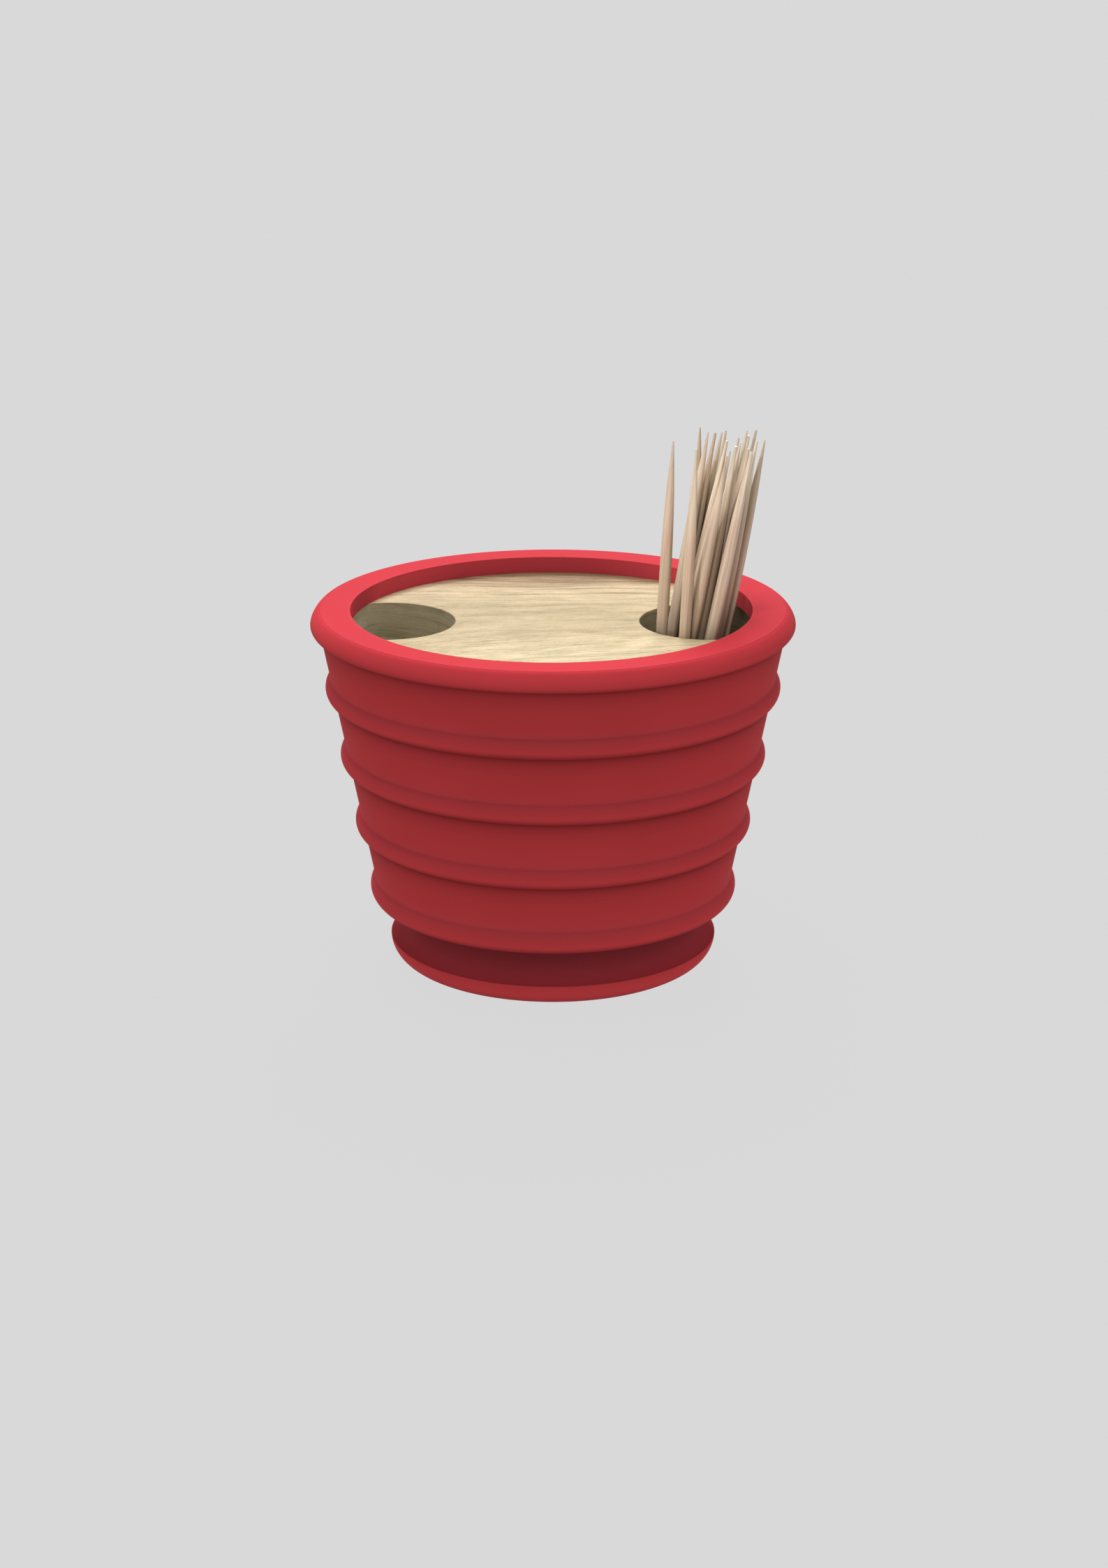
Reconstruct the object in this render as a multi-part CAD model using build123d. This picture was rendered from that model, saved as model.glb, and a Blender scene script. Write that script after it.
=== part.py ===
from build123d import *
import math
import os

# Table toothpick dispenser: an elastic ribbed cup that grips a turned wooden
# insert with two blind pockets, and double-pointed toothpicks standing in one
# of them.  Millimetres, +Z up, origin at the centre of the base.

# ---- driving dimensions ------------------------------------------------------
HEIGHT = 60.30            # base to rim
RIM_R = 40.00             # widest radius, on the rim bead
RIM_FLAT_R = 38.35        # where the flat rim top turns over
RIM_WIDE_Z = 57.95        # height of the widest point
RIM_BEND_R = 0.60         # how far the turned-over edge keeps level,
RIM_BEND_Z = 0.90         # and how far it keeps upright
RIM_UNDER_R = 1.543       # turn-under below the widest point, radial
RIM_UNDER_Z = 1.12        # and along Z
LIP_IN_R = 33.12          # opening in the rim, at the top
LIP_IN_R_LOW = 32.98      # and at the wood
OPENING_X = -0.25         # the opening sits a little off the cup's axis
OPENING_EDGE = 0.20       # eased edge round the opening
WOOD_TOP_Z = 57.56        # top face of the insert, under the lip

CONE_R0 = 27.125          # radius of the tapered wall, extended down to Z 0
CONE_SLOPE = 0.19837      # growth of that radius per millimetre of height

# ribs: centre height, section radius, how far they stand out of the wall
RIBS = [
    (47.285, 2.050, 1.181),
    (35.684, 2.050, 1.181),
    (24.118, 2.050, 1.181),
    (12.576, 2.410, 1.128),
]
CREASE_R = 0.30           # moulded radius beside each rib

NECK_R = 23.90            # narrowest radius of the groove above the foot
NECK_Z = 7.10
FOOT_R = 27.40            # foot flange
FOOT_TOP_Z = 3.88
FOOT_ROUND = 3.88         # quarter-round below the flange edge
FOOT_EDGE_R = 0.18
RECESS_R = 17.50          # shallow recess that keeps the base from rocking
RECESS_DEPTH = 0.90

WALL = 2.40               # thickness of the elastic wall
CAVITY_FLOOR_Z = 13.50
INSERT_GAP = 0.06         # radial room between wall and insert
INSERT_CHAMFER = 0.80

POCKET_R = 11.55          # both pockets
POCKET_LEFT_X = -27.70
POCKET_RIGHT_X = 25.85
POCKET_Y = 1.20           # both are bored a little behind the middle
POCKET_OUT_R = 33.60      # outer side of a pocket, at the top face
POCKET_FLOOR_Z = 24.60
POCKET_EDGE = 0.25        # broken edge at the mouth

# round, double pointed: distance from a point, radius there
PICK_TAPER = [(3.0, 0.33), (6.0, 0.51), (9.0, 0.67), (12.0, 0.79), (16.0, 0.90), (21.0, 0.97)]
PICK_FOOT_R = 0.13
PICK_FOOT_Z = 24.72       # centre of the lower point

# where each toothpick stands: X and Y of its lower point, X and Y of its unit
# direction, length, radius of the upper point
PICKS = [
    (16.427, 0.147, 0.0447, -0.0894, 64.96, 0.13),
    (19.978, -5.477, 0.0442, -0.0852, 64.82, 0.22),
    (22.215, 11.868, 0.0292, -0.0922, 64.69, 0.13),
    (14.579, 1.421, 0.1638, 0.0124, 65.38, 0.13),
    (14.792, 3.402, 0.1806, 0.0109, 65.00, 0.22),
    (15.442, 5.469, 0.1891, 0.0043, 64.84, 0.13),
    (19.513, 5.956, 0.1335, -0.0483, 65.19, 0.13),
    (15.774, 0.807, 0.1921, -0.0184, 64.79, 0.22),
    (17.150, -1.756, 0.1631, -0.1445, 64.98, 0.13),
    (14.985, -1.788, 0.2095, -0.0607, 64.55, 0.13),
    (19.241, -1.329, 0.1537, -0.1011, 65.40, 0.22),
    (20.174, 1.889, 0.1516, -0.0544, 65.15, 0.13),
    (18.756, 0.005, 0.1762, -0.0570, 65.02, 0.13),
    (21.027, 6.302, 0.1644, -0.0269, 65.07, 0.13),
    (21.266, -2.796, 0.1550, -0.0713, 64.78, 0.22),
    (21.218, 2.860, 0.1635, -0.0242, 64.95, 0.22),
    (19.570, -4.380, 0.1858, -0.0811, 65.16, 0.22),
    (22.578, 7.998, 0.1651, -0.0305, 64.93, 0.22),
    (21.624, -0.029, 0.1739, -0.0382, 65.01, 0.22),
    (22.534, 1.868, 0.1817, -0.0450, 64.99, 0.13),
]


def cone_r(z):
    return CONE_R0 + CONE_SLOPE * z


def rib_end(zc, rho, proud, side):
    """Where a rib's arc meets the tapered wall: above it (+1) or below it (-1)."""
    rc = cone_r(zc) + proud - rho
    # (rc + rho cos a) = cone_r(zc + rho sin a)
    a = side * math.pi / 2 * 0.9
    for _ in range(60):
        f = rc + rho * math.cos(a) - cone_r(zc + rho * math.sin(a))
        d = -rho * math.sin(a) - CONE_SLOPE * rho * math.cos(a)
        a -= f / d
    return (rc + rho * math.cos(a), zc + rho * math.sin(a))


def cup():
    edges = []
    corners = []

    def line(a, b):
        edges.append(Line((a[0], a[1]), (b[0], b[1])))

    # rim: flat top, turned-over edge, short turn-under that ends on the wall
    line((0.0, HEIGHT), (RIM_FLAT_R, HEIGHT))
    k = math.sqrt(0.5)
    edges.append(Bezier((RIM_FLAT_R, HEIGHT), (RIM_FLAT_R + RIM_BEND_R, HEIGHT),
                        (RIM_R, RIM_WIDE_Z + RIM_BEND_Z), (RIM_R, RIM_WIDE_Z)))
    low = (RIM_R - RIM_UNDER_R, RIM_WIDE_Z - RIM_UNDER_Z)
    low_mid = (RIM_R - RIM_UNDER_R * (1 - k), RIM_WIDE_Z - RIM_UNDER_Z * k)
    edges.append(Spline((RIM_R, RIM_WIDE_Z), low_mid, low, tangents=[(0, -1), (-1, 0)]))
    here = (cone_r(low[1]), low[1])
    line(low, here) if low[0] - here[0] > 1e-3 else None
    if low[0] - here[0] <= 1e-3:
        here = low
    # four ribs on the tapered wall
    for zc, rho, proud in RIBS:
        hi = rib_end(zc, rho, proud, 1)
        lo = rib_end(zc, rho, proud, -1)
        line(here, hi)
        corners += [hi, lo]
        edges.append(ThreePointArc(hi, (cone_r(zc) + proud, zc), lo))
        here = lo
    # groove above the foot, then the foot flange with its quarter-round
    edges.append(ThreePointArc(here, (NECK_R, NECK_Z), (FOOT_R, FOOT_TOP_Z)))
    a = (FOOT_R, FOOT_TOP_Z)
    b = (FOOT_R - FOOT_ROUND, 0.0)
    m = (FOOT_R - FOOT_ROUND + FOOT_ROUND * k, FOOT_TOP_Z - FOOT_ROUND * k)
    edges.append(ThreePointArc(a, m, b))
    # underside with its shallow recess
    line(b, (RECESS_R, 0.0))
    line((RECESS_R, 0.0), (RECESS_R - 0.9, RECESS_DEPTH))
    line((RECESS_R - 0.9, RECESS_DEPTH), (0.0, RECESS_DEPTH))
    line((0.0, RECESS_DEPTH), (0.0, CAVITY_FLOOR_Z))
    # cavity
    floor_r = cone_r(CAVITY_FLOOR_Z) - WALL
    top_r = cone_r(WOOD_TOP_Z) - WALL
    line((0.0, CAVITY_FLOOR_Z), (floor_r, CAVITY_FLOOR_Z))
    line((floor_r, CAVITY_FLOOR_Z), (top_r, WOOD_TOP_Z))
    line((top_r, WOOD_TOP_Z), (0.0, WOOD_TOP_Z))
    line((0.0, WOOD_TOP_Z), (0.0, HEIGHT))

    face = make_face(Wire(edges))
    round_at = [p for p in corners[:-1]]
    verts = [v for v in face.vertices()
             if any(math.hypot(v.X - p[0], v.Y - p[1]) < 1e-3 for p in round_at)]
    face = fillet(verts, CREASE_R)
    foot = [v for v in face.vertices() if math.hypot(v.X - FOOT_R, v.Y - FOOT_TOP_Z) < 1e-3]
    face = fillet(foot, FOOT_EDGE_R)
    body = revolve(Plane.XZ * face, Axis.Z, 360)

    # opening in the rim, with an eased edge at the top
    slope = (LIP_IN_R - LIP_IN_R_LOW) / (HEIGHT - WOOD_TOP_Z)
    under = 0.5
    e = OPENING_EDGE
    cutter = make_face(Wire([
        Line((0.0, WOOD_TOP_Z - under), (LIP_IN_R_LOW - slope * under, WOOD_TOP_Z - under)),
        Line((LIP_IN_R_LOW - slope * under, WOOD_TOP_Z - under), (LIP_IN_R - slope * e, HEIGHT - e)),
        ThreePointArc((LIP_IN_R - slope * e, HEIGHT - e),
                      (LIP_IN_R + e * (1 - k), HEIGHT - e * (1 - k)), (LIP_IN_R + e, HEIGHT)),
        Line((LIP_IN_R + e, HEIGHT), (LIP_IN_R + e, HEIGHT + 1)),
        Line((LIP_IN_R + e, HEIGHT + 1), (0.0, HEIGHT + 1)),
        Line((0.0, HEIGHT + 1), (0.0, WOOD_TOP_Z - under)),
    ]))
    return body - Pos(OPENING_X, 0, 0) * revolve(Plane.XZ * cutter, Axis.Z, 360)


def insert():
    low_r = cone_r(CAVITY_FLOOR_Z) - WALL - INSERT_GAP
    top_r = cone_r(WOOD_TOP_Z) - WALL - INSERT_GAP
    h = WOOD_TOP_Z - CAVITY_FLOOR_Z
    body = Pos(0, 0, CAVITY_FLOOR_Z) * Cone(low_r, top_r, h, align=(Align.CENTER, Align.CENTER, Align.MIN))
    body = chamfer(body.edges().filter_by(GeomType.CIRCLE).sort_by(Axis.Z)[0], INSERT_CHAMFER)
    depth = WOOD_TOP_Z - POCKET_FLOOR_Z
    out_low = POCKET_OUT_R - CONE_SLOPE * depth
    for x in (POCKET_LEFT_X, POCKET_RIGHT_X):
        bore = Pos(x, POCKET_Y, POCKET_FLOOR_Z) * Cylinder(POCKET_R, depth + 2, align=(Align.CENTER, Align.CENTER, Align.MIN))
        keep = Pos(0, 0, POCKET_FLOOR_Z) * Cone(
            out_low, POCKET_OUT_R + CONE_SLOPE * 2, depth + 2, align=(Align.CENTER, Align.CENTER, Align.MIN))
        bevel = Pos(x, POCKET_Y, WOOD_TOP_Z - POCKET_EDGE) * Cone(
            POCKET_R, POCKET_R + 2 * POCKET_EDGE, 2 * POCKET_EDGE, align=(Align.CENTER, Align.CENTER, Align.MIN))
        body -= (bore + bevel) & keep
    return body


def toothpick(x, y, dx, dy, length, tip_r):
    pts = [(0, 0), (PICK_FOOT_R, 0)]
    pts += [(r, s) for s, r in PICK_TAPER]
    pts += [(r, length - s) for s, r in reversed(PICK_TAPER)]
    pts += [(tip_r, length), (0, length)]
    section = Plane.XZ * make_face(Polyline(*pts, close=True))
    stick = revolve(section, Axis.Z, 360)
    dz = math.sqrt(1 - dx * dx - dy * dy)
    place = Plane(origin=(x, y, PICK_FOOT_Z), z_dir=(dx, dy, dz))
    return place.location * stick


os.makedirs("parts", exist_ok=True)


def write(shape, name):
    solid = shape.solids()[0] if len(shape.solids()) == 1 else shape
    solid.label = name
    export_step(solid, f"parts/{name}.step")
    box = solid.bounding_box()
    print(f"{name:14s} solids {len(shape.solids())} volume {shape.volume:10.2f} "
          f"z {box.min.Z:7.2f} .. {box.max.Z:7.2f}")


write(cup(), "silicone_cup")
write(insert(), "wood_insert")
for i, p in enumerate(PICKS, 1):
    write(toothpick(*p), f"toothpick_{i:02d}")
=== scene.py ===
import math

import bpy
import numpy as np
from mathutils import Matrix, Vector
from mathutils.geometry import delaunay_2d_cdt


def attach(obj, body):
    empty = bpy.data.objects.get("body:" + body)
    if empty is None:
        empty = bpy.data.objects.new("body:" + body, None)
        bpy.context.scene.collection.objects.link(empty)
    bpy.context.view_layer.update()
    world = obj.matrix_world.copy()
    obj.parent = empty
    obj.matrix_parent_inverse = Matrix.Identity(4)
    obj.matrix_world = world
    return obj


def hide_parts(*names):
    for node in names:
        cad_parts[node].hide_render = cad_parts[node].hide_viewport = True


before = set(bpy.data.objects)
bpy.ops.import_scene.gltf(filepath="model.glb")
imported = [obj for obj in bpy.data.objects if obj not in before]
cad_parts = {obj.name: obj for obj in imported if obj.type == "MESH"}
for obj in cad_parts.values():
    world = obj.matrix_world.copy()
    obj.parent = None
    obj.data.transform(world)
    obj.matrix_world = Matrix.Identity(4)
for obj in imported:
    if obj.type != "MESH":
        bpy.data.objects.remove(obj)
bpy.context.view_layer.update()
MM = 0.001

# =============================================================================
# small helpers
# =============================================================================


def new_object(name, verts, faces, smooth=True):
    """verts in millimetres; the object's own units are metres."""
    mesh = bpy.data.meshes.new(name)
    mesh.from_pydata([(x * MM, y * MM, z * MM) for x, y, z in verts], [], faces)
    mesh.update(calc_edges=True)
    if smooth:
        mesh.polygons.foreach_set("use_smooth", [True] * len(mesh.polygons))
    ob = bpy.data.objects.new(name, mesh)
    bpy.context.scene.collection.objects.link(ob)
    return ob


def mark_sharp(ob, angle_deg, loops=()):
    """Edges above the angle shade as corners, and so do the edges between the listed vertices."""
    mesh = ob.data
    mesh.set_sharp_from_angle(angle=math.radians(angle_deg))
    if loops:
        wanted = set(loops)
        attr = mesh.attributes.get("sharp_edge")
        if attr is None:
            attr = mesh.attributes.new("sharp_edge", "BOOLEAN", "EDGE")
        for e in mesh.edges:
            if e.vertices[0] in wanted and e.vertices[1] in wanted:
                attr.data[e.index].value = True


def smoothstep(t):
    t = min(1.0, max(0.0, t))
    return t * t * (3 - 2 * t)


def cut(points, d, at_end):
    """The polyline without its last (or first) d millimetres."""
    pts = list(points)
    if not at_end:
        pts.reverse()
    left = d
    while len(pts) > 1:
        a, b = pts[-2], pts[-1]
        step = math.hypot(b[0] - a[0], b[1] - a[1])
        if step <= left:
            pts.pop()
            left -= step
            continue
        t = (step - left) / step
        pts[-1] = (a[0] + (b[0] - a[0]) * t, a[1] + (b[1] - a[1]) * t)
        break
    if not at_end:
        pts.reverse()
    return pts


def chain(parts, rounds, steps=6):
    """Joins profile parts end to end; rounds[i] is how far the corner between part i and i + 1 is eased."""
    out = list(parts[0])
    for part, r in zip(parts[1:], rounds):
        corner = part[0]
        if r:
            out = cut(out, r, True)
            part = cut(part, r, False)
            a, b = out[-1], part[0]
            for i in range(1, steps):
                t = i / steps
                out.append((
                    (1 - t) ** 2 * a[0] + 2 * t * (1 - t) * corner[0] + t * t * b[0],
                    (1 - t) ** 2 * a[1] + 2 * t * (1 - t) * corner[1] + t * t * b[1],
                ))
            out += part
        else:
            out += part[1:]
    return out


def segment(a, b, n=1):
    return [(a[0] + (b[0] - a[0]) * i / n, a[1] + (b[1] - a[1]) * i / n) for i in range(n + 1)]


def arc(cx, cz, rx, rz, a0, a1, n):
    """Angles in degrees from +r towards +z."""
    out = []
    for i in range(n + 1):
        a = math.radians(a0 + (a1 - a0) * i / n)
        out.append((cx + rx * math.cos(a), cz + rz * math.sin(a)))
    return out


def lathe(name, profile, segments):
    """A closed solid of revolution; a profile end on the axis becomes one point."""
    verts, rings, faces = [], [], []
    for r, z in profile:
        if r < 1e-6:
            rings.append([len(verts)])
            verts.append((0.0, 0.0, z))
        else:
            start = len(verts)
            for k in range(segments):
                a = 2 * math.pi * k / segments
                verts.append((r * math.cos(a), r * math.sin(a), z))
            rings.append(list(range(start, start + segments)))
    for top, low in zip(rings, rings[1:]):
        for k in range(segments):
            n = (k + 1) % segments
            if len(top) == 1 and len(low) == 1:
                continue
            if len(top) == 1:
                faces.append((top[0], low[k], low[n]))
            elif len(low) == 1:
                faces.append((top[k], low[0], top[n]))
            else:
                faces.append((top[k], low[k], low[n], top[n]))
    return new_object(name, verts, faces)


# =============================================================================
# node helpers
# =============================================================================


class Nodes:
    def __init__(self, name):
        self.mat = bpy.data.materials.new(name)
        self.mat.use_nodes = True
        self.tree = self.mat.node_tree
        self.tree.nodes.clear()
        self.start = None
        self.out = self.add("ShaderNodeOutputMaterial")
        self.bsdf = self.add("ShaderNodeBsdfPrincipled")
        self.link(self.bsdf, "BSDF", self.out, "Surface")

    def add(self, kind, **props):
        node = self.tree.nodes.new(kind)
        for key, value in props.items():
            setattr(node, key, value)
        return node

    def link(self, a, a_out, b, b_in):
        self.tree.links.new(a.outputs[a_out], b.inputs[b_in])

    def frame(self, origin, turn):
        """From now on coords() starts at a stick's lower point, with Z along the stick."""
        tc = self.add("ShaderNodeTexCoord")
        mp = self.add("ShaderNodeMapping", vector_type="TEXTURE")
        mp.inputs["Location"].default_value = origin
        mp.inputs["Rotation"].default_value = turn
        self.link(tc, "Object", mp, "Vector")
        self.start = mp

    def coords(self, scale=(1, 1, 1), rotate=(0, 0, 0), move=(0, 0, 0)):
        mp = self.add("ShaderNodeMapping")
        mp.inputs["Scale"].default_value = scale
        mp.inputs["Rotation"].default_value = rotate
        mp.inputs["Location"].default_value = move
        if self.start is None:
            self.start = self.add("ShaderNodeTexCoord")
        self.tree.links.new(self.start.outputs["Object" if "Object" in self.start.outputs else "Vector"], mp.inputs["Vector"])
        return mp

    def noise(self, coords, scale, detail=4.0, rough=0.5, distortion=0.0, lac=2.0):
        n = self.add("ShaderNodeTexNoise")
        n.inputs["Scale"].default_value = scale
        n.inputs["Detail"].default_value = detail
        n.inputs["Roughness"].default_value = rough
        n.inputs["Lacunarity"].default_value = lac
        n.inputs["Distortion"].default_value = distortion
        self.link(coords, "Vector", n, "Vector")
        return n

    def ramp(self, source, out, stops, interpolation="LINEAR"):
        r = self.add("ShaderNodeValToRGB")
        r.color_ramp.interpolation = interpolation
        els = r.color_ramp.elements
        els[0].position, els[0].color = stops[0][0], stops[0][1]
        els[1].position, els[1].color = stops[-1][0], stops[-1][1]
        for pos, col in stops[1:-1]:
            e = els.new(pos)
            e.color = col
        self.link(source, out, r, "Fac")
        return r

    def mix(self, fac, a, b, blend="MIX"):
        """fac, a, b: numbers, colours, or (node, output)."""
        m = self.add("ShaderNodeMix", data_type="RGBA", blend_type=blend, clamp_result=False)
        for socket, value in ((0, fac), (6, a), (7, b)):
            if isinstance(value, tuple) and len(value) == 2 and hasattr(value[0], "outputs"):
                self.tree.links.new(value[0].outputs[value[1]], m.inputs[socket])
            else:
                m.inputs[socket].default_value = value
        return m

    def math(self, op, a, b=None, c=None, clamp=False):
        m = self.add("ShaderNodeMath", operation=op, use_clamp=clamp)
        for socket, value in enumerate((a, b, c)):
            if value is None:
                continue
            if isinstance(value, tuple):
                self.tree.links.new(value[0].outputs[value[1]], m.inputs[socket])
            else:
                m.inputs[socket].default_value = value
        return m

    def bump(self, height, out, strength, distance, normal=None):
        b = self.add("ShaderNodeBump")
        b.inputs["Strength"].default_value = strength
        b.inputs["Distance"].default_value = distance
        self.link(height, out, b, "Height")
        if normal is not None:
            self.link(normal, "Normal", b, "Normal")
        return b


def srgb(r, g, b, a=1.0):
    def lin(c):
        c /= 255.0
        return c / 12.92 if c <= 0.04045 else ((c + 0.055) / 1.055) ** 2.4
    return (lin(r), lin(g), lin(b), a)


# =============================================================================
# the cup
# =============================================================================
RIM_Z, RIM_FLAT_R, RIM_R, RIM_WIDE_Z = 60.30, 38.35, 39.985, 57.95
RIM_BEND_R, RIM_BEND_Z = 0.60, 0.90
RIM_UNDER_R, RIM_UNDER_Z = 1.543, 1.12
LIP_IN_R, LIP_IN_R_LOW, OPENING_X, WOOD_TOP_Z = 33.12, 32.98, -0.25, 57.56
CONE_R0, CONE_SLOPE = 27.125, 0.19837
RIBS = [(47.285, 2.050, 1.181), (35.684, 2.050, 1.181), (24.118, 2.050, 1.181), (12.576, 2.410, 1.128)]
NECK_R, NECK_Z = 23.90, 7.10
FOOT_R, FOOT_TOP_Z, FOOT_ROUND = 27.40, 3.88, 3.88
RECESS_R, RECESS_DEPTH = 17.50, 0.90
WALL, CAVITY_FLOOR_Z = 2.40, 13.50


def cone_r(z):
    return CONE_R0 + CONE_SLOPE * z


def rib_end(zc, rho, proud, side):
    rc = cone_r(zc) + proud - rho
    a = side * math.pi / 2 * 0.9
    for _ in range(60):
        f = rc + rho * math.cos(a) - cone_r(zc + rho * math.sin(a))
        d = -rho * math.sin(a) - CONE_SLOPE * rho * math.cos(a)
        a -= f / d
    return a, (rc + rho * math.cos(a), zc + rho * math.sin(a))


def circle_through(a, b, c):
    ax, ay, bx, by, cx, cy = *a, *b, *c
    d = 2 * (ax * (by - cy) + bx * (cy - ay) + cx * (ay - by))
    ux = ((ax * ax + ay * ay) * (by - cy) + (bx * bx + by * by) * (cy - ay) + (cx * cx + cy * cy) * (ay - by)) / d
    uy = ((ax * ax + ay * ay) * (cx - bx) + (bx * bx + by * by) * (ax - cx) + (cx * cx + cy * cy) * (bx - ax)) / d
    return ux, uy, math.hypot(ax - ux, ay - uy)


def cup_profile():
    """Points from the foot of the opening over the rim and down the outside to the underside's middle."""
    parts, rounds = [], []

    def part(points, ease=0.0):
        if parts:
            rounds.append(ease)
        parts.append(points)

    # inner wall of the rim, from the wood up
    part(segment((LIP_IN_R_LOW, WOOD_TOP_Z), (LIP_IN_R, RIM_Z), 6))
    # flat top
    part(segment((LIP_IN_R, RIM_Z), (RIM_FLAT_R, RIM_Z), 8), 0.16)
    # the turned-over edge, with a fine parting groove where it starts
    edge = []
    for i in range(41):
        t = (i / 40) ** 1.5
        u = 1 - t
        r = u ** 3 * RIM_FLAT_R + 3 * u * u * t * (RIM_FLAT_R + RIM_BEND_R) + 3 * u * t * t * RIM_R + t ** 3 * RIM_R
        z = u ** 3 * RIM_Z + 3 * u * u * t * RIM_Z + 3 * u * t * t * (RIM_WIDE_Z + RIM_BEND_Z) + t ** 3 * RIM_WIDE_Z
        d = (r - RIM_FLAT_R - 0.09) / 0.06
        edge.append((r, z - 0.085 * math.exp(-d * d)))
    part(edge, 0.0)
    part([(RIM_R - RIM_UNDER_R + RIM_UNDER_R * math.cos(t), RIM_WIDE_Z - RIM_UNDER_Z * math.sin(t))
          for t in [math.radians(90 * i / 20) for i in range(21)]], 0.0)
    here = (cone_r(RIM_WIDE_Z - RIM_UNDER_Z), RIM_WIDE_Z - RIM_UNDER_Z)
    first = True
    for zc, rho, proud in RIBS:
        a_hi, hi = rib_end(zc, rho, proud, 1)
        a_lo, lo = rib_end(zc, rho, proud, -1)
        part([(x, z) for x, z in graded(here, hi, 16)], 0.10 if first else 0.08)
        first = False
        rc = cone_r(zc) + proud - rho
        part(arc(rc, zc, rho, rho, math.degrees(a_hi), math.degrees(a_lo), 30), 0.30)
        here = lo
    # groove above the foot
    cx, cz, rad = circle_through(here, (NECK_R, NECK_Z), (FOOT_R, FOOT_TOP_Z))
    t0 = math.degrees(math.atan2(here[1] - cz, here[0] - cx))
    t1 = math.degrees(math.atan2(FOOT_TOP_Z - cz, FOOT_R - cx))
    tm = math.degrees(math.atan2(NECK_Z - cz, NECK_R - cx)) % 360
    t0 %= 360
    t1 %= 360
    if not (t0 < tm < t1):
        t0, t1 = t0, t1 + 360 if t1 < t0 else t1
    part(arc(cx, cz, rad, rad, t0, t1, 44), 0.08)
    # foot flange
    part(arc(FOOT_R - FOOT_ROUND, FOOT_TOP_Z, FOOT_ROUND, FOOT_ROUND, 0, -90, 30), 0.10)
    part(segment((FOOT_R - FOOT_ROUND, 0.0), (RECESS_R, 0.0), 3), 0.0)
    part(segment((RECESS_R, 0.0), (RECESS_R - 0.9, RECESS_DEPTH), 3), 0.35)
    part(segment((RECESS_R - 0.9, RECESS_DEPTH), (0.0, RECESS_DEPTH), 8), 0.35)
    return chain(parts, rounds)


def graded(a, b, n):
    """A straight run with its points closer together at the start."""
    return [(a[0] + (b[0] - a[0]) * (i / n) ** 1.8, a[1] + (b[1] - a[1]) * (i / n) ** 1.8) for i in range(n + 1)]


OVERHANGS = [RIM_WIDE_Z - RIM_UNDER_Z] + [rib_end(zc, rho, proud, -1)[1][1] for zc, rho, proud in RIBS]


GROOVE_SHADE = [(0.0, 0.34), (2.0, 0.366), (3.2, 0.466), (4.3, 0.604), (5.3, 0.80), (6.0, 0.93), (6.7, 1.15)]


def between(knots, t):
    for (t0, k0), (t1, k1) in zip(knots, knots[1:]):
        if t < t1:
            return k0 + (k1 - k0) * max(0.0, t - t0) / (t1 - t0)
    return knots[-1][1]


def shade_at(r, z):
    """Painted shade and light on the outside, as a colour factor: darker under the rim, under each rib and in the
    groove, where shade falls; a painted cooler sheen on top of the ribs and a cooler tint in the groove; the rim's
    inner wall painted lighter and paler, its flat top a purer red."""
    # painted light: the rim's inner wall made lighter and paler
    if r < LIP_IN_R + 0.6 and z > WOOD_TOP_Z - 0.01:
        up = smoothstep((RIM_Z - z) / 0.30)
        return (1.0 + 0.10 * up, 1.0 + 0.36 * up, 1.0 + 0.62 * up)
    if z > RIM_WIDE_Z + 0.5:                 # painted: the rim's flat top made a purer red, taking out the grey sheen the lamps leave there
        top = smoothstep((z - RIM_WIDE_Z - 1.2) / 1.1)
        return (1.0 - 0.01 * top, 1.0 - 0.15 * top, 1.0 - 0.07 * top)
    k, green, blue = 1.0, 1.0, 1.0
    # painted shade: the colour darkened below the rim and each rib, fading away below them, and in the groove above
    # the foot, which also gets a painted cooler tint
    for i, zo in enumerate(OVERHANGS):
        d = zo - z
        if d >= -1e-6:
            if i == 0:
                if d < 14:
                    k *= 1 - 0.30 * math.exp(-d / 0.55) - 0.34 * math.exp(-(d / 4.0) ** 1.1)
            elif i < 4:
                if d < 14:
                    k *= 1 - 0.30 * math.exp(-d / 0.55) - 0.33 * math.exp(-d / 3.3)
            elif z > FOOT_TOP_Z - 0.02:
                k *= between(GROOVE_SHADE, d)
                away = smoothstep(d / 1.5)
                green *= 1 + 0.36 * away
                blue *= 1 + 0.50 * away
        elif i == 0:                         # painted shade on the rim's rounded underside that closes in on the wall; the ribs' undersides below get the same
            k *= 0.60 + 0.40 * smoothstep((-d - 0.25) / 0.90)
        else:
            k *= 0.55 + 0.45 * smoothstep((-d - 0.20) / 1.30)
    # painted sheen: a cooler, bluer tint along the top of each rib
    for zc, rho, proud in RIBS:
        g = math.exp(-((z - rib_end(zc, rho, proud, 1)[1][1] + 0.25) / 0.95) ** 2)
        green *= 1 + 0.24 * g
        blue *= 1 + 0.30 * g
    # painted shade: the foot darker towards the floor
    if z < 2.3:
        k *= 1 - 0.45 * (1 - smoothstep(z / 2.3))
    return (k, k * green, k * blue)


outside = cup_profile()
floor_r = cone_r(CAVITY_FLOOR_Z) - WALL
top_r = cone_r(WOOD_TOP_Z) - WALL
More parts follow.
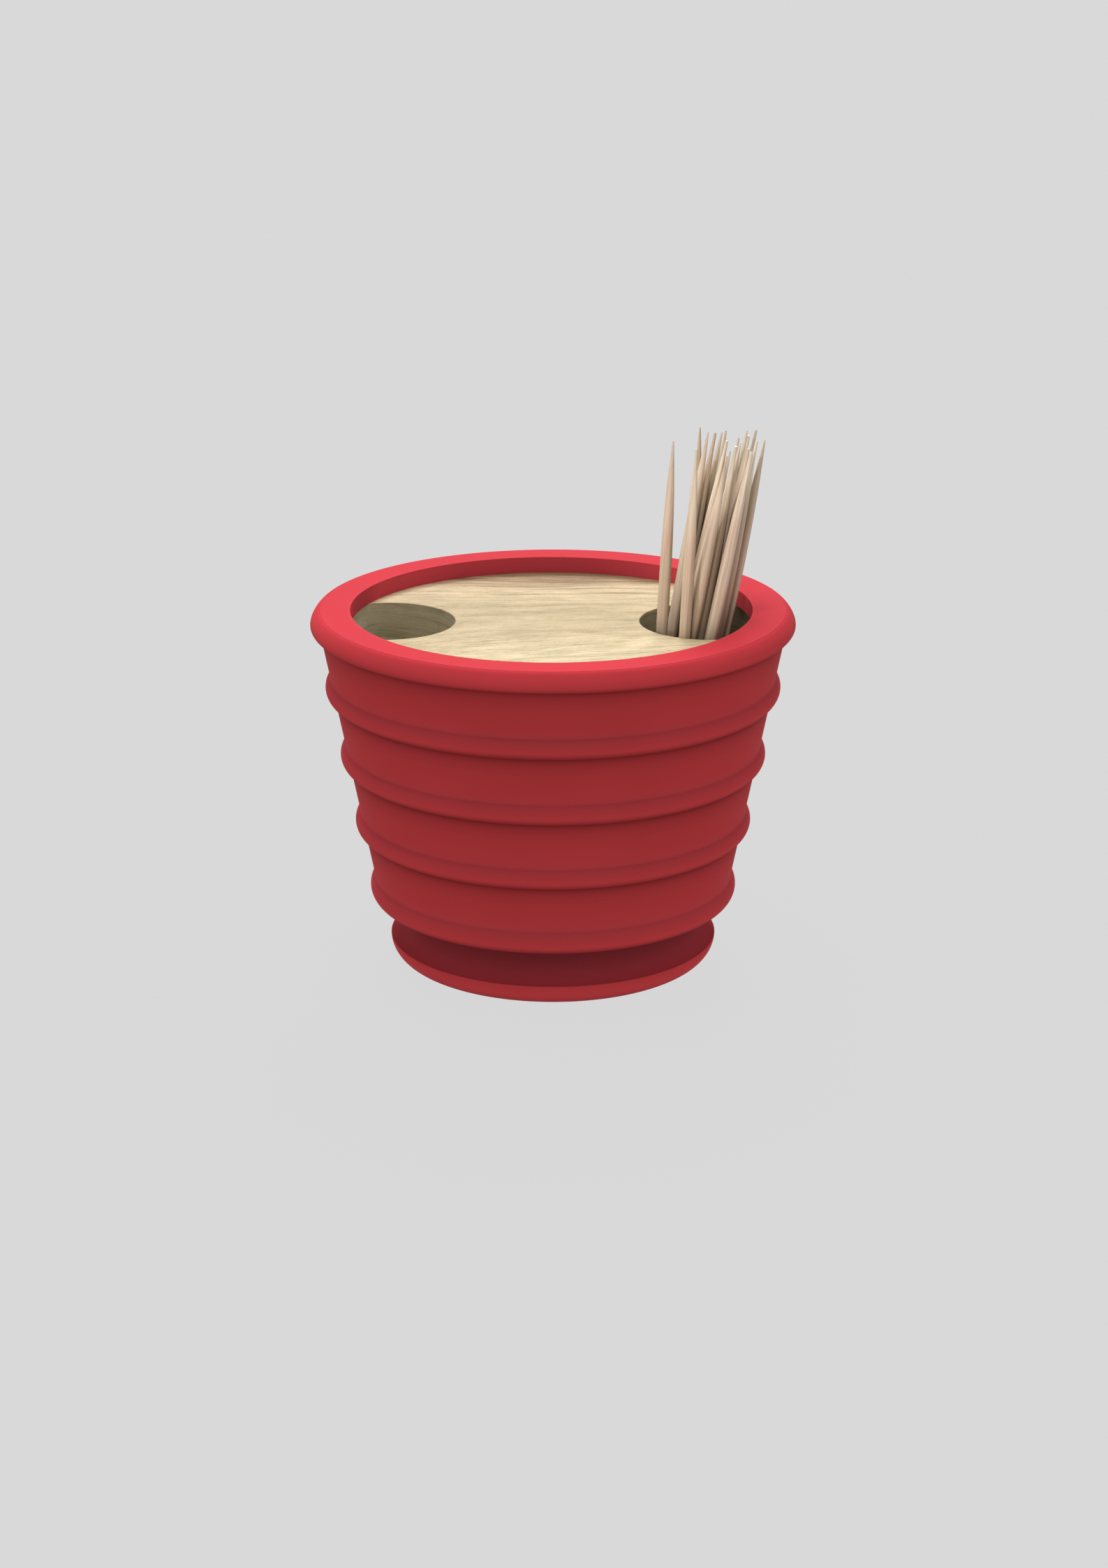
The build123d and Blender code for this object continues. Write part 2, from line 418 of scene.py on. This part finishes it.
# the cavity under the insert, walked from the middle of its floor up to the rim's underside
inside = [(0.0, CAVITY_FLOOR_Z), (floor_r, CAVITY_FLOOR_Z), (top_r, WOOD_TOP_Z), (LIP_IN_R_LOW, WOOD_TOP_Z)]
cup = lathe("cup_silicone", inside[:-1] + outside, 320)
# painted shade and light, kept per vertex and multiplied into the silicone's colour
opening = cup.data.attributes.new("painted_shade_and_light", "FLOAT_VECTOR", "POINT")
for v in cup.data.vertices:
    r, z = math.hypot(v.co.x, v.co.y) / MM, v.co.z / MM
    tone = shade_at(r, z) if r > 22 else (1.0, 1.0, 1.0)
    if z > RIM_WIDE_Z + 0.5 and r > LIP_IN_R + 0.1:          # painted shadow of the sticks on the rim's top beside them
        beside = math.degrees(math.atan2(v.co.y, v.co.x)) + 6.0
        painted_stick_shadow = 1.0 - 0.15 * math.exp(-(beside / 32.0) ** 2)
        tone = tuple(t * painted_stick_shadow for t in tone)
    elif z > WOOD_TOP_Z + 0.1 and 30 < r < LIP_IN_R + 0.1:   # painted light on the lip behind the sticks, against the shadow they cast on it
        painted_lip_light = 1.0 + 0.25 * math.exp(-(math.degrees(math.atan2(v.co.y, v.co.x)) / 15.0) ** 2)
        tone = tuple(t * painted_lip_light for t in tone)
    opening.data[v.index].vector = tone
for v in cup.data.vertices:                   # the opening sits a little off the axis
    r, z = math.hypot(v.co.x, v.co.y) / MM, v.co.z / MM
    if z > WOOD_TOP_Z - 0.01 and r > 30:
        v.co.x += OPENING_X * MM * min(1.0, max(0.0, (36.5 - r) / (36.5 - LIP_IN_R)))
mark_sharp(cup, 42)

# =============================================================================
# the wooden insert
# =============================================================================
INSERT_GAP, INSERT_CHAMFER = 0.06, 0.80
POCKET_R, POCKET_OUT_R, POCKET_FLOOR_Z = 11.55, 33.60, 24.60
POCKETS = ((-27.70, 1.20), (25.85, 1.20))
MOUTH = 0.14


def pocket_loop(centre, depth, grow, count=208):
    """The pocket's outline at a depth: a circle that runs over into the insert's own tapered wall."""
    cx = math.hypot(*centre)
    turn = math.atan2(centre[1], centre[0])
    r = POCKET_R + grow
    big = POCKET_OUT_R - CONE_SLOPE * depth
    ease = 2.4
    pts = []
    for i in range(count):
        t = 2 * math.pi * i / count
        along = cx * math.cos(t)
        wall = -along + math.sqrt(max(0.0, along * along + big * big - cx * cx))
        h = min(1.0, max(0.0, 0.5 + 0.5 * (wall - r) / ease))
        d = wall + (r - wall) * h - ease * h * (1 - h)
        d = min(d, wall - 0.02)
        px, py = cx + d * math.cos(t), d * math.sin(t)
        pts.append((px * math.cos(turn) - py * math.sin(turn), px * math.sin(turn) + py * math.cos(turn)))
    return pts


def insert_object():
    verts, faces, creases = [], [], []
    n_out = 288
    low_r = cone_r(CAVITY_FLOOR_Z) - WALL - INSERT_GAP
    hi_r = cone_r(WOOD_TOP_Z) - WALL - INSERT_GAP

    def ring(r, z):
        start = len(verts)
        for k in range(n_out):
            a = 2 * math.pi * k / n_out
            verts.append((r * math.cos(a), r * math.sin(a), z))
        return list(range(start, start + n_out))

    def bridge(a, b, flip=False):
        n = len(a)
        for k in range(n):
            m = (k + 1) % n
            q = (a[k], b[k], b[m], a[m])
            faces.append(q[::-1] if flip else q)

    c = INSERT_CHAMFER
    c_r = low_r + (hi_r - low_r) * c / (WOOD_TOP_Z - CAVITY_FLOOR_Z)
    top = ring(hi_r, WOOD_TOP_Z)
    mid = ring(c_r, CAVITY_FLOOR_Z + c)
    low = ring(low_r - c, CAVITY_FLOOR_Z)
    bridge(top, mid)
    bridge(mid, low)
    centre = len(verts)
    verts.append((0, 0, CAVITY_FLOOR_Z))
    for k in range(n_out):
        faces.append((low[(k + 1) % n_out], low[k], centre))

    mouths = []
    for centre in POCKETS:
        loops = []
        steps = 5
        for i in range(steps + 1):          # the rounded mouth
            t = math.pi / 2 * i / steps
            depth = MOUTH * (1 - math.cos(t))
            loops.append((depth, MOUTH * (1 - math.sin(t))))
        full = WOOD_TOP_Z - POCKET_FLOOR_Z
        loops += [(MOUTH + (full - MOUTH - 0.35) * i / 16, 0.0) for i in range(1, 17)]
        loops += [(full - 0.35 + 0.35 * math.sin(t), -0.35 * (1 - math.cos(t))) for t in (math.pi / 6, math.pi / 3, math.pi / 2)]
        ids = []
        for depth, grow in loops:
            start = len(verts)
            for x, y in pocket_loop(centre, depth, grow):
                verts.append((x, y, WOOD_TOP_Z - depth))
            ids.append(list(range(start, len(verts))))
        for a, b in zip(ids, ids[1:]):
            bridge(a, b, flip=True)
        mouths.append(ids[0])
        creases += ids[0]
        faces.append(tuple(ids[-1]))
        creases += ids[-1]

    # top face, with the pockets' mouths left out
    index = list(top) + [i for m in mouths for i in m]
    pts = [Vector((verts[i][0], verts[i][1])) for i in index]
    edges, start = [], 0
    for loop in (top, *mouths):
        n = len(loop)
        edges += [(start + k, start + (k + 1) % n) for k in range(n)]
        start += n
    extra = len(pts)
    for gx in range(-34, 35, 4):
        for gy in range(-34, 35, 4):
            if math.hypot(gx, gy) < 34.5 and all(math.hypot(gx - cx, gy - cy) > POCKET_R + 1.5 for cx, cy in POCKETS):
                pts.append(Vector((gx, gy)))
                index.append(len(verts))
                verts.append((gx, gy, WOOD_TOP_Z))
    co, _, tris, orig, _, _ = delaunay_2d_cdt(pts, edges, [], 1, 1e-7)
    back = []
    for i, o in enumerate(orig):
        back.append(index[o[0]])
    holes = [[(verts[i][0], verts[i][1]) for i in m] for m in mouths]

    def inside_hole(x, y):
        for poly in holes:
            hit = False
            for (x1, y1), (x2, y2) in zip(poly, poly[1:] + poly[:1]):
                if (y1 > y) != (y2 > y) and x < (x2 - x1) * (y - y1) / (y2 - y1) + x1:
                    hit = not hit
            if hit:
                return True
        return False

    for t in tris:
        x = sum(co[i].x for i in t) / len(t)
        y = sum(co[i].y for i in t) / len(t)
        if not inside_hole(x, y):
            f = [back[i] for i in t]
            (ax, ay, _), (bx, by, _), (qx, qy, _) = (verts[i] for i in f[:3])
            if (bx - ax) * (qy - ay) - (by - ay) * (qx - ax) < 0:
                f.reverse()
            faces.append(tuple(f))
    creases += top
    ob = new_object("insert_wood", verts, faces)
    mark_sharp(ob, 35, creases)
    return ob


insert = insert_object()

# =============================================================================
# toothpicks
# =============================================================================
PICK_TAPER = [(3.0, 0.33), (6.0, 0.51), (9.0, 0.67), (12.0, 0.79), (16.0, 0.90), (21.0, 0.97)]
PICK_FOOT_R, PICK_FOOT_Z = 0.13, 24.72
PICKS = [
    (16.427, 0.147, 0.0447, -0.0894, 64.96, 0.13),
    (19.978, -5.477, 0.0442, -0.0852, 64.82, 0.22),
    (22.215, 11.868, 0.0292, -0.0922, 64.69, 0.13),
    (14.579, 1.421, 0.1638, 0.0124, 65.38, 0.13),
    (14.792, 3.402, 0.1806, 0.0109, 65.00, 0.22),
    (15.442, 5.469, 0.1891, 0.0043, 64.84, 0.13),
    (19.513, 5.956, 0.1335, -0.0483, 65.19, 0.13),
    (15.774, 0.807, 0.1921, -0.0184, 64.79, 0.22),
    (17.150, -1.756, 0.1631, -0.1445, 64.98, 0.13),
    (14.985, -1.788, 0.2095, -0.0607, 64.55, 0.13),
    (19.241, -1.329, 0.1537, -0.1011, 65.40, 0.22),
    (20.174, 1.889, 0.1516, -0.0544, 65.15, 0.13),
    (18.756, 0.005, 0.1762, -0.0570, 65.02, 0.13),
    (21.027, 6.302, 0.1644, -0.0269, 65.07, 0.13),
    (21.266, -2.796, 0.1550, -0.0713, 64.78, 0.22),
    (21.218, 2.860, 0.1635, -0.0242, 64.95, 0.22),
    (19.570, -4.380, 0.1858, -0.0811, 65.16, 0.22),
    (22.578, 7.998, 0.1651, -0.0305, 64.93, 0.22),
    (21.624, -0.029, 0.1739, -0.0382, 65.01, 0.22),
    (22.534, 1.868, 0.1817, -0.0450, 64.99, 0.13),
]


def pick_radius(s, length, tip_r):
    """Radius along the stick, s from the lower point."""
    def half(t, point_r):
        knots = [(0.0, point_r)] + PICK_TAPER
        for (t0, r0), (t1, r1) in zip(knots, knots[1:]):
            if t < t1:
                return r0 + (r1 - r0) * (t - t0) / (t1 - t0)
        return knots[-1][1]
    return min(half(s, PICK_FOOT_R), half(length - s, tip_r))


def pick_object(number, spec):
    x, y, dx, dy, length, tip_r = spec
    rng = np.random.default_rng(1000 + number)
    around = 40
    waves = [(k, rng.uniform(0, 2 * math.pi), rng.uniform(0.3, 1.0), rng.uniform(-0.02, 0.02)) for k in (2, 3, 5, 7, 11, 16)]
    stations = [0.0, 0.06, 0.2, 0.5]
    s = 1.0
    while s < length - 1.0:
        stations.append(s)
        s += 1.3
    stations += [length - 0.9, length - 0.5, length - 0.22, length - 0.08, length]
    verts, faces, rings = [], [], []
    tilt = rng.uniform(0, 2 * math.pi)
    blunt = tip_r > 0.2
    for s in stations:
        base = pick_radius(s, length, tip_r)
        start = len(verts)
        for k in range(around):
            a = 2 * math.pi * k / around
            # facets and torn fibres, only ever inwards from the turned size
            w = 0.0
            for n, ph, amp, drift in waves:
                w += amp / n ** 0.6 * math.sin(n * a + ph + drift * s * n)
            dent = 0.012 + 0.010 * math.tanh(w)
            r = base - min(dent, base * 0.12)
            z = s
            if blunt and s == stations[-1]:      # a chipped end, slightly out of square
                z = s - 0.10 * (0.5 + 0.5 * math.cos(a - tilt))
            verts.append((r * math.cos(a), r * math.sin(a), z))
        rings.append(list(range(start, start + around)))
    for low, top in zip(rings, rings[1:]):
        for k in range(around):
            n = (k + 1) % around
            faces.append((low[k], low[n], top[n], top[k]))
    bottom = len(verts)
    verts.append((0, 0, 0.0))
    tip = len(verts)
    verts.append((0, 0, length - (0.05 if blunt else 0.0)))
    for k in range(around):
        n = (k + 1) % around
        faces.append((bottom, rings[0][n], rings[0][k]))
        faces.append((tip, rings[-1][k], rings[-1][n]))
    ob = new_object(f"toothpick_wood_{number:02d}", verts, faces)
    mark_sharp(ob, 40)
    dz = math.sqrt(1 - dx * dx - dy * dy)
    turn = Vector((dx, dy, dz)).to_track_quat("Z", "Y").to_matrix().to_4x4()
    ob.data.transform(Matrix.Translation(Vector((x, y, PICK_FOOT_Z)) * MM) @ turn)
    return ob


picks = [pick_object(i, p) for i, p in enumerate(PICKS, 1)]


# the chipped ends show pale fresh wood, whitened further as a painted highlight
for spec, ob in zip(PICKS, picks):
    mesh = ob.data
    co = np.empty(len(mesh.vertices) * 3)
    mesh.vertices.foreach_get("co", co)
    x, y, dx, dy, length, tip_r = spec
    along = (co.reshape(-1, 3) / MM - np.array([x, y, PICK_FOOT_Z])) @ np.array([dx, dy, math.sqrt(1 - dx * dx - dy * dy)])
    tone = np.ones((len(along), 3), np.float32)
    if tip_r > 0.2:
        tone[along > length - 0.06] = (1.18, 1.34, 1.62)
    attr = mesh.attributes.new("fresh_end_and_highlight", "FLOAT_VECTOR", "POINT")
    attr.data.foreach_set("vector", tone.ravel())

# =============================================================================
# materials
# =============================================================================


def silicone():
    n = Nodes("red_silicone")
    b = n.bsdf
    fine = n.noise(n.coords(), 2600.0, 2.0, 0.55)
    broad = n.noise(n.coords(), 55.0, 3.0, 0.5)
    tone = n.ramp(broad, "Fac", [(0.35, (0.550, 0.0485, 0.0545, 1)), (0.65, (0.570, 0.0505, 0.0570, 1))])
    speck = n.ramp(fine, "Fac", [(0.30, (0.985, 0.985, 0.985, 1)), (0.70, (1.0, 1.0, 1.0, 1))])
    colour = n.mix(1.0, (tone, "Color"), (speck, "Color"), "MULTIPLY")
    # painted shade and light from the cup's vertices: darker under the rim, the ribs and in the groove, cooler on the
    # rib tops, the sticks' shadow on the rim and light on the lip behind them
    painted_tone_node = n.add("ShaderNodeAttribute", attribute_name="painted_shade_and_light")
    colour = n.mix(1.0, (colour, 2), (painted_tone_node, "Vector"), "MULTIPLY")
    n.link(colour, 2, b, "Base Color")
    rough = n.ramp(broad, "Fac", [(0.3, (0.60, 0.60, 0.60, 1)), (0.7, (0.68, 0.68, 0.68, 1))])
    n.link(rough, "Color", b, "Roughness")
    b.inputs["Specular IOR Level"].default_value = 0.02
    b.inputs["IOR"].default_value = 1.41
    bump = n.bump(fine, "Fac", 0.10, 0.00003)
    n.link(bump, "Normal", b, "Normal")
    return n.mat


def insert_material():
    """Light flat-sawn board with its fibres along X, fanning out a little towards the front."""
    n = Nodes("insert_wood")
    b = n.bsdf
    sep = n.add("ShaderNodeSeparateXYZ")
    n.link(n.coords(scale=(1000, 1000, 1000)), "Vector", sep, "Vector")       # millimetres
    x, y, z = (sep, "X"), (sep, "Y"), (sep, "Z")

    def m(op, p, q=None, r=None, clamp=False):
        return (n.math(op, p, q, r, clamp), "Value")

    def step(value, lo, hi):
        t = n.add("ShaderNodeMapRange", interpolation_type="SMOOTHSTEP")
        t.inputs["From Min"].default_value = lo
        t.inputs["From Max"].default_value = hi
        n.link(value[0], value[1], t, "Value")
        return (t, "Result")

    def noise_of(u, v, w, detail=3.0, rough=0.55, distortion=0.0):
        c = n.add("ShaderNodeCombineXYZ")
        for socket, value in zip("XYZ", (u, v, w)):
            if isinstance(value, tuple):
                n.link(value[0], value[1], c, socket)
            else:
                c.inputs[socket].default_value = value
        return (n.noise(c, 1.0, detail, rough, distortion), "Fac")

    def factor(value, stops, interpolation="LINEAR"):
        return (n.ramp(value[0], value[1], [(t, (*c, 1)) for t, c in stops], interpolation), "Color")

    # the fibres' own coordinate: it fans out, waves a little and swirls round one small figure
    fan = m("MULTIPLY_ADD", m("MULTIPLY", x, y), 0.0062, m("MULTIPLY_ADD", x, -0.135, y))
    wave = noise_of(m("MULTIPLY", x, 0.040), m("MULTIPLY", y, 0.070), m("MULTIPLY", z, 0.05), 2.0, 0.5)
    ex = m("POWER", m("ABSOLUTE", m("MULTIPLY", m("SUBTRACT", x, 7.5), 0.13)), 2.0)
    ey = m("POWER", m("ABSOLUTE", m("MULTIPLY", m("SUBTRACT", y, 15.5), 0.40)), 2.0)
    swirl = m("EXPONENT", m("MULTIPLY", m("ADD", ex, ey), -1.0))
    across = m("MULTIPLY_ADD", swirl, 1.5, m("MULTIPLY_ADD", m("SUBTRACT", wave, 0.5), 5.2, fan))
    # rings round a pith far below the board
    ring = m("SQRT", m("ADD", m("POWER", m("ABSOLUTE", m("ADD", across, 13.0)), 2.0), m("POWER", m("ADD", z, 42.0), 2.0)))

    # broad tone across the board: brown at the back edge, a pale band, quiet middle, pale front
    place = m("MULTIPLY_ADD", across, 1 / 58.0, 26.0 / 58.0, clamp=True)
    tone = factor(place, [
        (0.00, (0.608, 0.502, 0.311)), (0.16, (0.617, 0.511, 0.315)), (0.30, (0.524, 0.420, 0.249)),
        (0.48, (0.496, 0.394, 0.229)), (0.64, (0.505, 0.399, 0.232)), (0.76, (0.598, 0.483, 0.293)),
        (0.84, (0.570, 0.447, 0.271)), (0.91, (0.402, 0.283, 0.158)), (1.00, (0.243, 0.157, 0.079)),
    ])
    back = step(across, 8.0, 24.0)
    front = step(across, -1.0, -11.0)

    # growth lines: dense and reddish at the back, faint elsewhere
    lines = noise_of(m("MULTIPLY", x, 0.030), m("MULTIPLY", ring, 2.8), 0.0, 4.0, 0.66)
    red = factor(lines, [(0.36, (0.42, 0.32, 0.23)), (0.46, (0.90, 0.86, 0.82)), (0.58, (1.06, 1.06, 1.07))])
    colour = n.mix(m("MULTIPLY_ADD", back, 0.66, 0.16), tone, red, "MULTIPLY")
    # soft olive streaks, some of them narrow and dark
    streak = noise_of(m("MULTIPLY", x, 0.085), m("MULTIPLY", across, 0.60), m("MULTIPLY", z, 0.55), 5.0, 0.66, 0.45)
    olive = factor(streak, [(0.34, (0.66, 0.65, 0.52)), (0.43, (0.91, 0.91, 0.85)), (0.52, (1.00, 1.00, 0.99)), (0.64, (1.07, 1.07, 1.08))])
    colour = n.mix(0.62, (colour, 2), olive, "MULTIPLY")
    # thin slanted lines in the pale front
    thin = noise_of(m("MULTIPLY", x, 0.13), m("MULTIPLY", across, 2.3), m("MULTIPLY", z, 1.6), 4.0, 0.68)
    brown = factor(thin, [(0.35, (0.50, 0.44, 0.24)), (0.41, (0.91, 0.89, 0.80)), (0.47, (1.02, 1.02, 1.02))])
    colour = n.mix(m("MULTIPLY_ADD", front, 0.62, 0.20), (colour, 2), brown, "MULTIPLY")
    # short dashes and cloudy patches
    dash = noise_of(m("MULTIPLY", x, 0.60), m("MULTIPLY", across, 3.0), m("MULTIPLY", z, 3.0), 3.0, 0.6)
    short = factor(dash, [(0.34, (0.80, 0.77, 0.70)), (0.47, (1.00, 1.00, 0.99)), (0.62, (1.06, 1.06, 1.06))])
    colour = n.mix(0.55, (colour, 2), short, "MULTIPLY")
    cloud = noise_of(m("MULTIPLY", x, 0.14), m("MULTIPLY", across, 0.34), 3.3, 4.0, 0.62)
    patch = factor(cloud, [(0.34, (0.83, 0.84, 0.82)), (0.64, (1.08, 1.08, 1.08))])
    colour = n.mix(0.9, (colour, 2), patch, "MULTIPLY")
    # fibres
    fibre = noise_of(m("MULTIPLY", x, 2.4), m("MULTIPLY", across, 7.0), m("MULTIPLY", z, 7.0), 2.0, 0.55)
    fine = factor(fibre, [(0.30, (0.80, 0.79, 0.76)), (0.50, (1.0, 1.0, 1.0)), (0.68, (1.08, 1.08, 1.09))])
    colour = n.mix(0.75, (colour, 2), fine, "MULTIPLY")
    # small dark pores
    pore = noise_of(m("MULTIPLY", x, 0.75), m("MULTIPLY", across, 4.2), m("MULTIPLY", z, 4.2), 1.0, 0.5)
    dark = factor(pore, [(0.735, (1, 1, 1)), (0.775, (0.50, 0.42, 0.32))])
    colour = n.mix(0.8, (colour, 2), dark, "MULTIPLY")
    # the pockets' walls are greyer and greener, with level lines; painted shade darkens them on the side where the
    # sticks stand
    deep = step(z, 57.45, 57.15)
    level = noise_of(m("MULTIPLY", x, 0.050), m("MULTIPLY", y, 0.050), m("MULTIPLY_ADD", x, 0.12, m("MULTIPLY", z, 1.60)), 4.0, 0.70)
    rows = factor(level, [(0.38, (0.80, 0.93, 1.12)), (0.47, (1.05, 1.20, 1.41)), (0.60, (1.17, 1.33, 1.56))])
    calm = n.mix(0.55, (colour, 2), (0.496, 0.394, 0.229, 1))
    colour_in = n.mix(1.0, (calm, 2), rows, "MULTIPLY")
    # painted shade: the pocket wall darker towards +X, under the sticks
    painted_pocket_shade = factor(m("MULTIPLY_ADD", x, 1 / 66.0, 0.5, clamp=True), [
        (0.55, (1.0, 1.0, 1.0)), (0.70, (0.63, 0.69, 0.74)), (0.86, (0.44, 0.43, 0.38)), (0.98, (0.26, 0.24, 0.20))])
    colour_in = n.mix(1.0, (colour_in, 2), painted_pocket_shade, "MULTIPLY")
    colour = n.mix(deep, (colour, 2), (colour_in, 2))
    n.link(colour, 2, b, "Base Color")
    b.inputs["Roughness"].default_value = 0.62
    b.inputs["Specular IOR Level"].default_value = 0.10
    bump = n.bump(fibre[0], "Fac", 0.30, 0.00005)
    n.link(bump, "Normal", b, "Normal")
    return n.mat


def pick_material(number):
    rng = np.random.default_rng(4000 + number)
    n = Nodes(f"toothpick_wood_{number:02d}")
    b = n.bsdf
    x, y, dx, dy = PICKS[number - 1][:4]
    turn = Vector((dx, dy, math.sqrt(1 - dx * dx - dy * dy))).to_track_quat("Z", "Y").to_euler()
    n.frame(Vector((x, y, PICK_FOOT_Z)) * MM, turn)
    off = tuple(rng.uniform(0, 40, 3))
    fibre = n.noise(n.coords(scale=(2400, 2400, 40), move=off), 1.0, 3.0, 0.6)
    streak = n.noise(n.coords(scale=(700, 700, 16), move=off[::-1]), 1.0, 2.0, 0.5)
    pink = n.noise(n.coords(scale=(260, 260, 60), move=off), 1.0, 2.0, 0.5)
    warm = rng.uniform(0.885, 0.975)
    light = n.ramp(streak, "Fac", [
        (0.32, (0.500 * warm, 0.390 * warm, 0.275 * warm, 1)),
        (0.50, (0.620 * warm, 0.505 * warm, 0.370 * warm, 1)),
        (0.68, (0.700 * warm, 0.585 * warm, 0.440 * warm, 1)),
    ])
    thin = n.ramp(fibre, "Fac", [(0.34, (0.74, 0.72, 0.69, 1)), (0.48, (0.96, 0.96, 0.96, 1)), (0.64, (1.09, 1.09, 1.09, 1))])
    colour = n.mix(0.9, (light, "Color"), (thin, "Color"), "MULTIPLY")
    blush = n.ramp(pink, "Fac", [(0.48, (1, 1, 1, 1)), (0.64, (1.01, 0.90, 0.91, 1))])
    colour = n.mix(0.8, (colour, 2), (blush, "Color"), "MULTIPLY")
    # the sharpened ends are paler: partly the bare cut wood, partly painted light brightening the tips
    sep = n.add("ShaderNodeSeparateXYZ")
    n.link(n.start, "Vector", sep, "Vector")
    off_middle = n.math("ABSOLUTE", (n.math("SUBTRACT", (sep, "Z"), 0.0325), "Value"))
    ends = n.add("ShaderNodeMapRange", interpolation_type="SMOOTHSTEP")
    ends.inputs["From Min"].default_value = 0.014
    ends.inputs["From Max"].default_value = 0.030
    n.link(off_middle, "Value", ends, "Value")
    pale_ends_and_painted_light = n.mix((ends, "Result"), (1, 1, 1, 1), (1.22, 1.28, 1.33, 1))
    colour = n.mix(1.0, (colour, 2), (pale_ends_and_painted_light, 2), "MULTIPLY")
    fresh_end_and_highlight = n.add("ShaderNodeAttribute", attribute_name="fresh_end_and_highlight")
    colour = n.mix(1.0, (colour, 2), (fresh_end_and_highlight, "Vector"), "MULTIPLY")
    # painted shade: the colour darkened and browned by an occlusion node where the sticks crowd together, wherever
    # each one is at the time
    crowd_occlusion = n.add("ShaderNodeAmbientOcclusion", samples=16)
    crowd_occlusion.inputs["Distance"].default_value = 0.0042
    shade = n.ramp(crowd_occlusion, "AO", [
        (0.0, (0.05, 0.038, 0.027, 1)), (0.12, (0.34, 0.31, 0.28, 1)), (0.45, (0.80, 0.765, 0.72, 1)), (0.90, (1, 1, 1, 1))])
    colour = n.mix(1.0, (colour, 2), (shade, "Color"), "MULTIPLY")
    n.link(colour, 2, b, "Base Color")
    b.inputs["Roughness"].default_value = 0.60
    b.inputs["Specular IOR Level"].default_value = 0.12
    bump = n.bump(fibre, "Fac", 0.5, 0.00006)
    n.link(bump, "Normal", b, "Normal")
    return n.mat


cup.data.materials.append(silicone())
insert.data.materials.append(insert_material())
for i, p in enumerate(picks, 1):
    p.data.materials.append(pick_material(i))

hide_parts("silicone_cup")
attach(cup, "holder")
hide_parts("wood_insert")
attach(insert, "holder")
for i, p in enumerate(picks, 1):
    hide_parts(f"toothpick_{i:02d}")
    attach(p, f"toothpick_{i:02d}")
for name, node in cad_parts.items():     # hidden nodes still get a real finish
    node.data.materials.clear()
    node.data.materials.append(
        cup.data.materials[0] if name == "silicone_cup" else
        insert.data.materials[0] if name == "wood_insert" else picks[0].data.materials[0])

# =============================================================================
# floor, light, camera
# =============================================================================
side = 30.0
floor_mesh = bpy.data.meshes.new("floor")
floor_mesh.from_pydata([(-side, -side, -0.00005), (side, -side, -0.00005), (side, side, -0.00005), (-side, side, -0.00005)], [], [(0, 1, 2, 3)])
floor = bpy.data.objects.new("floor", floor_mesh)
bpy.context.scene.collection.objects.link(floor)
fm = Nodes("floor_pale")
fm.bsdf.inputs["Base Color"].default_value = (0.015, 0.015, 0.015, 1)
fm.bsdf.inputs["Emission Color"].default_value = (1, 1, 1, 1)
fm.bsdf.inputs["Emission Strength"].default_value = 0.693 - 0.015 * 1.50
fm.bsdf.inputs["Roughness"].default_value = 1.0
fm.bsdf.inputs["Specular IOR Level"].default_value = 0.0
floor_mesh.materials.append(fm.mat)

world = bpy.data.worlds.new("studio")
bpy.context.scene.world = world
world.use_nodes = True
wt = world.node_tree
wt.nodes.clear()
w_out = wt.nodes.new("ShaderNodeOutputWorld")
w_bg = wt.nodes.new("ShaderNodeBackground")
w_bg.inputs["Color"].default_value = (1, 1, 1, 1)
w_bg.inputs["Strength"].default_value = 0.48
wt.links.new(w_bg.outputs["Background"], w_out.inputs["Surface"])



def sun(name, towards, energy, angle):
    light = bpy.data.lights.new(name, "SUN")
    light.energy = energy
    light.color = (1.0, 1.0, 1.10)
    light.angle = math.radians(angle)
    ob = bpy.data.objects.new(name, light)
    ob.rotation_euler = Vector(towards).to_track_quat("Z", "Y").to_euler()
    bpy.context.scene.collection.objects.link(ob)


sun("overhead", (-0.10, 0.04, 0.99), 1.30, 25)
sun("behind_right", (0.06, 0.70, 0.71), 1.90, 22)
sun("behind_left", (-0.26, 0.56, 0.79), 0.80, 26)

# two soft narrow beams from the left front that only reach the toothpicks and the lip behind them
for name, azimuth, height, energy in (("beam_left", 220, 15, 12.5), ("beam_front", 256, 19, 8.0)):
    azimuth, height, away = math.radians(azimuth), math.radians(height), 0.90
    towards = Vector((math.cos(azimuth) * math.cos(height), math.sin(azimuth) * math.cos(height), math.sin(height)))
    beam = bpy.data.lights.new(name, "SPOT")
    beam.energy = energy
    beam.spot_size = 2 * math.atan(0.023 / away)
    beam.spot_blend = 0.30
    beam.shadow_soft_size = 0.014
    beam_ob = bpy.data.objects.new(name, beam)
    beam_ob.location = Vector((0.031, -0.004, 0.073)) + towards * away
    beam_ob.rotation_euler = towards.to_track_quat("Z", "Y").to_euler()
    bpy.context.scene.collection.objects.link(beam_ob)

cam = bpy.data.cameras.new("camera")
cam.lens = 4908.3 / 2245 * 36
cam.sensor_width = 36
cam.shift_x = 1.45 / 2245
cam.clip_start, cam.clip_end = 0.01, 100
cam_ob = bpy.data.objects.new("camera", cam)
cam_ob.location = (0, -0.54589, 0.20799)
cam_ob.rotation_euler = (math.pi / 2 - 0.31590, 0, 0)
bpy.context.scene.collection.objects.link(cam_ob)
bpy.context.scene.camera = cam_ob

view = bpy.context.scene.view_settings
view.view_transform = "Standard"
view.look = "None"
view.exposure = 0
view.gamma = 1

bpy.context.view_layer.update()
